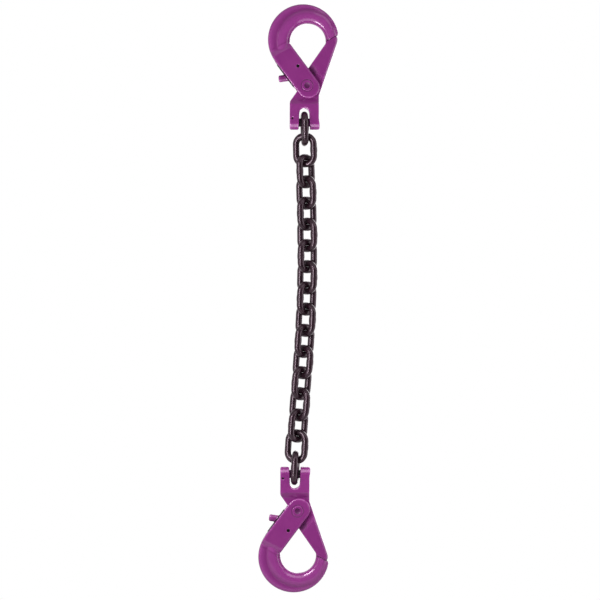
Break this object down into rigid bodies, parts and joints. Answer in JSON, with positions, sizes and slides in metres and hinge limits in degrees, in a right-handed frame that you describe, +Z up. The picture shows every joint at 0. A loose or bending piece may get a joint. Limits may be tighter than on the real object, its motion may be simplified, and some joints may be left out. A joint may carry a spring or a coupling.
{
  "type": "chain sling",
  "caption": "Short welded-chain sling with a self-locking clevis hook at each end; the gates open and the chain's links swing.",
  "frame": {"origin": "the seat of the upper hook's bowl, the highest point of its opening, on the hook's middle plane", "axes": "+Z up along the hanging chain, +X towards the gates, seen from the front, +Y away from the viewer across the hooks"},
  "size_m": [0.1083, 0.0383, 0.8791],
  "materials": {
    "purple": "satin purple powder coat",
    "chain_black": "glossy brown-black dip paint",
    "pin_steel": "plain hardened steel"
  },
  "bodies": {
    "upper_hook": {"upper_hook_body": "purple", "upper_pivot_pin": "purple", "upper_trigger_pin": "pin_steel", "upper_trigger_spring": "pin_steel"},
    "upper_clevis": {"upper_gate_clevis": "purple", "upper_load_pin": "pin_steel", "upper_load_pin_keeper": "pin_steel"},
    "upper_trigger": {"upper_trigger": "purple"},
    "lower_hook": {"lower_hook_body": "purple", "lower_pivot_pin": "purple", "lower_trigger_pin": "pin_steel", "lower_trigger_spring": "pin_steel"},
    "lower_clevis": {"lower_gate_clevis": "purple", "lower_load_pin": "pin_steel", "lower_load_pin_keeper": "pin_steel"},
    "lower_trigger": {"lower_trigger": "purple"},
    "link_01": {"chain_link_01": "chain_black"},
    "link_02": {"chain_link_02": "chain_black"},
    "link_03": {"chain_link_03": "chain_black"},
    "link_04": {"chain_link_04": "chain_black"},
    "link_05": {"chain_link_05": "chain_black"},
    "link_06": {"chain_link_06": "chain_black"},
    "link_07": {"chain_link_07": "chain_black"},
    "link_08": {"chain_link_08": "chain_black"},
    "link_09": {"chain_link_09": "chain_black"},
    "link_10": {"chain_link_10": "chain_black"},
    "link_11": {"chain_link_11": "chain_black"},
    "link_12": {"chain_link_12": "chain_black"},
    "link_13": {"chain_link_13": "chain_black"},
    "link_14": {"chain_link_14": "chain_black"},
    "link_15": {"chain_link_15": "chain_black"},
    "link_16": {"chain_link_16": "chain_black"},
    "link_17": {"chain_link_17": "chain_black"}
  },
  "joints": [
    {"name": "upper_gate", "type": "hinge", "parent": "upper_hook", "child": "upper_clevis", "pos_m": [0.00049, 0, -0.0928], "axis": [0, 1, 0], "range_deg": [0, 32]},
    {"name": "upper_trigger_turn", "type": "hinge", "parent": "upper_hook", "child": "upper_trigger", "pos_m": [-0.01396, 0, -0.06414], "axis": [0, 1, 0], "range_deg": [0, 12.8], "deforming": ["upper_trigger_spring"]},
    {"name": "link_01_swing", "type": "hinge", "parent": "upper_clevis", "child": "link_01", "pos_m": [-0.00256, 0, -0.14768], "axis": [0.9998, 0, 0.0209], "range_deg": [-90, 90]},
    {"name": "link_02_swing", "type": "hinge", "parent": "link_01", "child": "link_02", "pos_m": [-0.00121, 0, -0.1781], "axis": [0.139, 0.9903, 0.0062], "range_deg": [-90, 90]},
    {"name": "link_03_swing", "type": "hinge", "parent": "link_02", "child": "link_03", "pos_m": [0.00043, 0, -0.20976], "axis": [-0.8692, 0.4924, -0.0449], "range_deg": [-90, 90]},
    {"name": "link_04_swing", "type": "hinge", "parent": "link_03", "child": "link_04", "pos_m": [0.00214, 0, -0.24141], "axis": [-0.6485, -0.7604, -0.0351], "range_deg": [-90, 90]},
    {"name": "link_05_swing", "type": "hinge", "parent": "link_04", "child": "link_05", "pos_m": [0.00378, 0, -0.27307], "axis": [0.7304, -0.682, 0.0377], "range_deg": [-90, 90]},
    {"name": "link_06_swing", "type": "hinge", "parent": "link_05", "child": "link_06", "pos_m": [0.00519, 0, -0.30474], "axis": [0.6813, 0.7314, 0.0303], "range_deg": [-90, 90]},
    {"name": "link_07_swing", "type": "hinge", "parent": "link_06", "child": "link_07", "pos_m": [0.00624, 0, -0.33642], "axis": [-0.731, 0.682, -0.0242], "range_deg": [-90, 90]},
    {"name": "link_08_swing", "type": "hinge", "parent": "link_07", "child": "link_08", "pos_m": [0.00683, 0, -0.36811], "axis": [-0.6819, -0.7314, -0.0127], "range_deg": [-90, 90]},
    {"name": "link_09_swing", "type": "hinge", "parent": "link_08", "child": "link_09", "pos_m": [0.0069, 0, -0.39981], "axis": [0.7314, -0.682, 0.0018], "range_deg": [-90, 90]},
    {"name": "link_10_swing", "type": "hinge", "parent": "link_09", "child": "link_10", "pos_m": [0.00645, 0, -0.43151], "axis": [0.6819, 0.7314, -0.0097], "range_deg": [-90, 90]},
    {"name": "link_11_swing", "type": "hinge", "parent": "link_10", "child": "link_11", "pos_m": [0.00551, 0, -0.4632], "axis": [-0.731, 0.682, 0.0217], "range_deg": [-90, 90]},
    {"name": "link_12_swing", "type": "hinge", "parent": "link_11", "child": "link_12", "pos_m": [0.00416, 0, -0.49487], "axis": [-0.6814, -0.7314, 0.0291], "range_deg": [-90, 90]},
    {"name": "link_13_swing", "type": "hinge", "parent": "link_12", "child": "link_13", "pos_m": [0.00251, 0, -0.52652], "axis": [0.7304, -0.682, -0.0381], "range_deg": [-90, 90]},
    {"name": "link_14_swing", "type": "hinge", "parent": "link_13", "child": "link_14", "pos_m": [0.00071, 0, -0.55817], "axis": [0.6809, 0.7314, -0.0388], "range_deg": [-90, 90]},
    {"name": "link_15_swing", "type": "hinge", "parent": "link_14", "child": "link_15", "pos_m": [-0.0011, 0, -0.58982], "axis": [-0.7302, 0.682, 0.0416], "range_deg": [-90, 90]},
    {"name": "link_16_swing", "type": "hinge", "parent": "link_15", "child": "link_16", "pos_m": [-0.00275, 0, -0.62148], "axis": [-0.5728, -0.8192, 0.0298], "range_deg": [-90, 90]},
    {"name": "link_17_swing", "type": "hinge", "parent": "link_16", "child": "link_17", "pos_m": [-0.0041, 0, -0.65315], "axis": [0.9604, -0.2756, -0.041], "range_deg": [-90, 90]},
    {"name": "lower_clevis_swing", "type": "hinge", "parent": "link_17", "child": "lower_clevis", "pos_m": [-0.0047, 0, -0.67329], "axis": [-0.9998, 0, -0.0209], "range_deg": [-90, 90]},
    {"name": "lower_gate", "type": "hinge", "parent": "lower_clevis", "child": "lower_hook", "pos_m": [0.00065, 0, -0.72799], "axis": [0, 1, 0], "range_deg": [0, 32]},
    {"name": "lower_trigger_turn", "type": "hinge", "parent": "lower_hook", "child": "lower_trigger", "pos_m": [-0.0126, 0, -0.75724], "axis": [0, -1, 0], "range_deg": [0, 12.8], "deforming": ["lower_trigger_spring"]}
  ],
  "couplings": [
    {"joint": "upper_trigger_turn", "follows": "upper_gate", "ratio": 0.4},
    {"joint": "lower_trigger_turn", "follows": "lower_gate", "ratio": 0.4}
  ]
}
